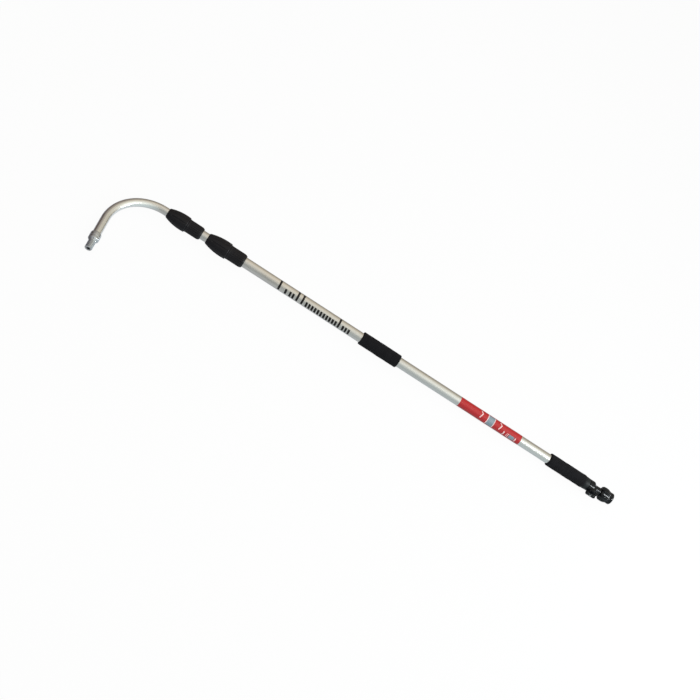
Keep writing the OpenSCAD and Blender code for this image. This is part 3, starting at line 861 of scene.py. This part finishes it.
def lock_collar(node, body, body_node, inner, barrel):
    """Barrel-shaped twist collar with shallow finger flutes, a lip at the seam and a rounded nose."""
    start, end = span(node)
    lock_start, ferrule_end = span(body_node)
    crown_at = ferrule_end - SOCKET_LEN + 0.13 * (end - lock_start)
    crown_r = max(reach(node), -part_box(node)[0].y)
    cavity = reach(body_node) - SNOUT_IN + GAP
    bore = inner + 0.3 * MM

    def barrel_at(along):
        return crown_r - barrel + math.sqrt(barrel ** 2 - (along - crown_at) ** 2)

    steps = 40
    stations = [start + (end - start) * k / steps for k in range(1, steps)]
    outline = soften([
        (start + GAP, cavity), (start + GAP, barrel_at(start) - 0.9 * MM),
        *[(along, barrel_at(along)) for along in stations if along < end - 2.2 * MM],
        (end - 0.8 * MM, barrel_at(end - 1 * MM), 1.2 * MM), (end, barrel_at(end) - 1.2 * MM, 0.8 * MM),
        (end, bore), (end - NOSE_LEN, bore), (end - NOSE_LEN, cavity),
    ])

    def shape(along, radius, angle):
        if radius < cavity + 1.0 * MM and along < end - 4 * MM or radius < inner + 1.0 * MM:
            return radius
        lip = LIP * window(along, start - 2 * MM, start + 3.0 * MM, 1.0 * MM)
        depth = FLUTE_DEPTH * window(along, start + 4 * MM, end - 5 * MM, 9 * MM)
        return radius + lip - depth * smooth_step(math.cos(FLUTES * angle), 0.45, 1.0)

    collar = revolve(node + "_grip", refine(outline, 1.6 * MM), shape, 200, 40)
    dress(collar, "lock_black", body, "lock_black", node)


# ---------------------------------------------------------------- tip

def tip_fitting():
    """Turned fitting pressed on the neck: collar, cone and coarse accessory thread round an open bore."""
    start = NECK_STRAIGHT - TIP_SOCKET
    face = NECK_STRAIGHT + TIP_SHOULDER
    thread_start = face + TIP_CONE
    end = thread_start + TIP_THREAD_LEN
    socket, bottom = NECK_R + PRESSED, NECK_STRAIGHT + PRESSED
    steps, run_out = 110, 1 * MM
    stations = [thread_start + run_out + (TIP_THREAD_LEN - 2 * run_out) * k / steps for k in range(steps + 1)]
    outline = soften([
        (start, socket), (start, TIP_COLLAR_R - 0.8 * MM, 0.5 * MM),
        (start + 1.6 * MM, TIP_COLLAR_R, 1.0 * MM),
        *groove(start, TIP_GROOVE, TIP_COLLAR_R, TIP_GROOVE_DEPTH),
        (face, TIP_COLLAR_R, 1.2 * MM), (thread_start, TIP_THREAD_R, 0.6 * MM),
        *[(along, TIP_THREAD_R) for along in stations],
        (end, TIP_THREAD_R - 1.0 * MM, 0.5 * MM), (end, TIP_BORE_R, 0.5 * MM),
        (bottom, TIP_BORE_R), (bottom, socket),
    ])

    def shape(along, radius, angle):
        if not thread_start + 0.5 * MM < along < end - 0.5 * MM or radius < TIP_THREAD_R - 0.01 * MM:
            return radius
        depth = (TIP_THREAD_R - TIP_ROOT_R) * window(along, thread_start + 0.8 * MM, end + 2.5 * MM, 2.5 * MM)
        return radius - depth * (1 - thread_wave(along, -angle, TIP_PITCH, 0.45))

    fitting = revolve("tip_turning", outline, shape, 128, 40, tip_place)
    dress(fitting, "tip_metal", "neck", "tip_metal", "tip_fitting")


# ---------------------------------------------------------------- stage, light and camera

# The studio's light: its colour by the angle round the pole, in degrees from straight up toward the
# lever's side, for slanting rays and for rays nearly square to the pole; and how it grows toward the hose end
ROUND_THE_POLE = [
    (-180, (0.48, 0.52, 0.54)), (-130, (0.62, 0.66, 0.70)), (-105, (0.40, 0.40, 0.38)),
    (-88, (0.27, 0.23, 0.18)), (-60, (0.40, 0.37, 0.30)), (-35, (0.54, 0.52, 0.45)),
    (-10, (0.86, 0.86, 0.79)), (15, (0.90, 0.92, 0.85)), (37, (0.82, 0.85, 0.80)),
    (58, (0.56, 0.61, 0.60)), (88, (0.42, 0.47, 0.48)), (110, (0.46, 0.52, 0.53)),
    (180, (0.46, 0.50, 0.52)),
]
SQUARE_TO_THE_POLE = [
    (-180, (0.48, 0.50, 0.52)), (-130, (0.60, 0.62, 0.64)), (-105, (0.38, 0.36, 0.33)),
    (-88, (0.34, 0.29, 0.22)), (-64, (0.62, 0.54, 0.42)), (-36, (0.86, 0.75, 0.60)),
    (-13, (0.92, 0.80, 0.65)), (8, (0.68, 0.59, 0.47)), (28, (0.44, 0.38, 0.31)),
    (48, (0.29, 0.26, 0.22)), (69, (0.29, 0.27, 0.24)), (91, (0.41, 0.40, 0.37)),
    (114, (0.49, 0.48, 0.46)), (150, (0.55, 0.54, 0.54)), (180, (0.48, 0.50, 0.52)),
]
ALONG_THE_POLE = [
    (-1, (0.28, 0.24, 0.24)), (-0.86, (0.29, 0.25, 0.26)), (-0.6, (0.70, 0.64, 0.67)),
    (-0.16, (0.86, 0.85, 0.86)), (0, (0.88, 0.88, 0.88)), (0.2, (1.0, 1.0, 1.0)),
    (0.35, (1.15, 1.15, 1.15)), (0.5, (1.3, 1.3, 1.3)), (0.8, (1.45, 1.45, 1.45)), (1, (1.3, 1.3, 1.3)),
]
# How nearly square to the pole a ray runs, by its part along the pole
SQUARENESS = [(-0.16, (0, 0, 0)), (-0.04, (1, 1, 1)), (0.05, (1, 1, 1)), (0.2, (0, 0, 0))]

# Lamps: place, size, power, colour, whether reflections show them, and the point they face
LAMPS = {
    "key": ((-0.9, -0.9, 1.6), (1.8, 0.5), 12, (1.0, 0.98, 0.95), False, (-0.84, 0, 0)),
    "fill": ((-0.4, 1.1, 1.2), (1.6, 0.6), 5, (0.95, 0.97, 1.0), False, (-0.84, 0, 0)),
    "hose_end_lamp": ((0.62, -0.63, 1.21), (0.2, 0.2), 9, (0.92, 0.97, 1.0), True, (-0.04, 0, 0)),
    "mouth_lamp": ((1.15, -0.15, 0.5), (0.3, 0.3), 9, (0.88, 0.95, 1.0), True, (-0.05, 0, 0)),
}

FLOOR_SIZE, FLOOR_BELOW = 14, 0.3 * MM


def surroundings(nodes, direction):
    """Studio light from a direction: a colour by the angle round the pole, brighter toward the hose end."""
    split = nodes.add("ShaderNodeSeparateXYZ", {0: direction})
    along = split.outputs["X"]
    angle = nodes.math("ARCTAN2", nodes.math("MULTIPLY", split.outputs["Y"], -1.0), split.outputs["Z"])
    slanted, square = [
        nodes.ramp(angle, -math.pi, math.pi, [(math.radians(degrees), colour) for degrees, colour in stops])
        for stops in (ROUND_THE_POLE, SQUARE_TO_THE_POLE)
    ]
    colour = nodes.mix(nodes.ramp(along, -0.2, 0.24, SQUARENESS), slanted, square)
    # A ramp holds no colour over 1, so it is given half of each level and then doubled
    half = [(at, [level / 2 for level in levels]) for at, levels in ALONG_THE_POLE]
    level = nodes.vector("SCALE", nodes.ramp(along, -1.0, 1.0, half), 2.0)
    return nodes.vector("MULTIPLY", colour, level)


def world_light():
    """Studio surroundings, plain white to the camera."""
    world = bpy.data.worlds.new("studio")
    bpy.context.scene.world = world
    world.use_nodes = True
    nodes = Nodes(world.node_tree)
    nodes.tree.nodes.clear()
    direction = nodes.add("ShaderNodeTexCoord").outputs["Generated"]
    studio = nodes.add("ShaderNodeBackground", {"Color": surroundings(nodes, direction)})
    seen = nodes.add("ShaderNodeBackground", {"Color": (1, 1, 1, 1)})
    rays = nodes.add("ShaderNodeLightPath").outputs["Is Camera Ray"]
    mix = nodes.add("ShaderNodeMixShader", {0: rays, 1: studio.outputs[0], 2: seen.outputs[0]})
    nodes.add("ShaderNodeOutputWorld", {"Surface": mix.outputs[0]})


def floor():
    """A pale floor under the lowest point. It glows, so that shadows on it stay faint."""
    low = min(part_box(node)[0].z for node in frame["nodes"])
    bpy.ops.mesh.primitive_plane_add(size=FLOOR_SIZE, location=(CAMERA_TARGET.x, 0, low - FLOOR_BELOW))
    obj = bpy.context.object
    obj.name = "floor"
    s = Shader("pale_floor", Roughness=0.9, Specular_IOR_Level=0.1)
    grain = s.noise(s.position(), 3.0, 4.0)
    s.set(Base_Color=s.mix(grain, (0.46, 0.48, 0.49, 1), (0.50, 0.52, 0.53, 1)),
          Normal=s.bump(s.noise(s.position(), 400.0, 2.0), 0.0001, 0.1))
    incoming = s.add("ShaderNodeNewGeometry").outputs["Incoming"]
    studio = s.add("ShaderNodeEmission", {"Color": surroundings(s, s.vector("SCALE", incoming, -1.0))})
    glow = s.add("ShaderNodeEmission", {"Color": (1, 1, 1, 1), "Strength": 1.02})
    pale = s.add("ShaderNodeMixShader", {0: 0.93, 1: s.bsdf.outputs[0], 2: glow.outputs[0]})
    rays = s.add("ShaderNodeLightPath").outputs["Is Camera Ray"]
    mix = s.add("ShaderNodeMixShader", {0: rays, 1: studio.outputs[0], 2: pale.outputs[0]})
    s.put(s.tree.nodes["Material Output"].inputs["Surface"], mix.outputs[0])
    obj.data.materials.append(s.material)


def soft_light(name, location, size, power, colour, glossy, target):
    """An area light that looks at a point on the pole."""
    light = bpy.data.lights.new(name, "AREA")
    light.shape = "RECTANGLE"
    light.size, light.size_y = size
    light.energy = power
    light.color = colour
    obj = new_object(name, light)
    obj.location = location
    obj.rotation_euler = (Vector(target) - obj.location).to_track_quat("-Z", "Y").to_euler()
    obj.visible_glossy = glossy


def camera():
    """Looks down at the pole from the lever's side, rolled so that the pole crosses the picture."""
    a, e, roll = CAMERA_AZIMUTH, CAMERA_ELEVATION, CAMERA_ROLL
    view = Vector((math.sin(a) * math.cos(e), math.cos(a) * math.cos(e), -math.sin(e)))
    right = Vector((math.cos(a), -math.sin(a), 0))
    up = right.cross(view)
    tilted_right = right * math.cos(roll) + up * math.sin(roll)
    tilted_up = up * math.cos(roll) - right * math.sin(roll)
    lens = bpy.data.cameras.new("camera")
    lens.lens, lens.sensor_width = CAMERA_LENS, SENSOR
    lens.clip_start, lens.clip_end = 0.01, 50
    obj = new_object("camera", lens)
    turn = Matrix((tilted_right, tilted_up, -view)).transposed().to_4x4()
    obj.matrix_world = Matrix.Translation(CAMERA_TARGET - view * CAMERA_DISTANCE) @ turn
    bpy.context.scene.camera = obj
    bpy.context.scene.view_settings.view_transform = "Standard"


paint_cad_nodes()
straight_tube("outer_tube", "handle", OUTER_R)
straight_tube("middle_tube", "middle", MIDDLE_R)
neck_tube()
foam_sleeve("bottom_grip", 3.0)
foam_sleeve("mid_grip", 11.0)
label_sleeve()
tube_marks()
label_marks()
adapter_collar()
valve_body()
valve_lever()
hose_nut()
lock_body("lower_lock_body", "handle", OUTER_R, MIDDLE_R)
lock_body("upper_lock_body", "middle", MIDDLE_R, NECK_R)
lock_collar("lower_lock_collar", "lower_collar", "lower_lock_body", MIDDLE_R, 155 * MM)
lock_collar("upper_lock_collar", "upper_collar", "upper_lock_body", NECK_R, 125 * MM)
tip_fitting()

world_light()
floor()
for lamp, values in LAMPS.items():
    soft_light(lamp, *values)
camera()
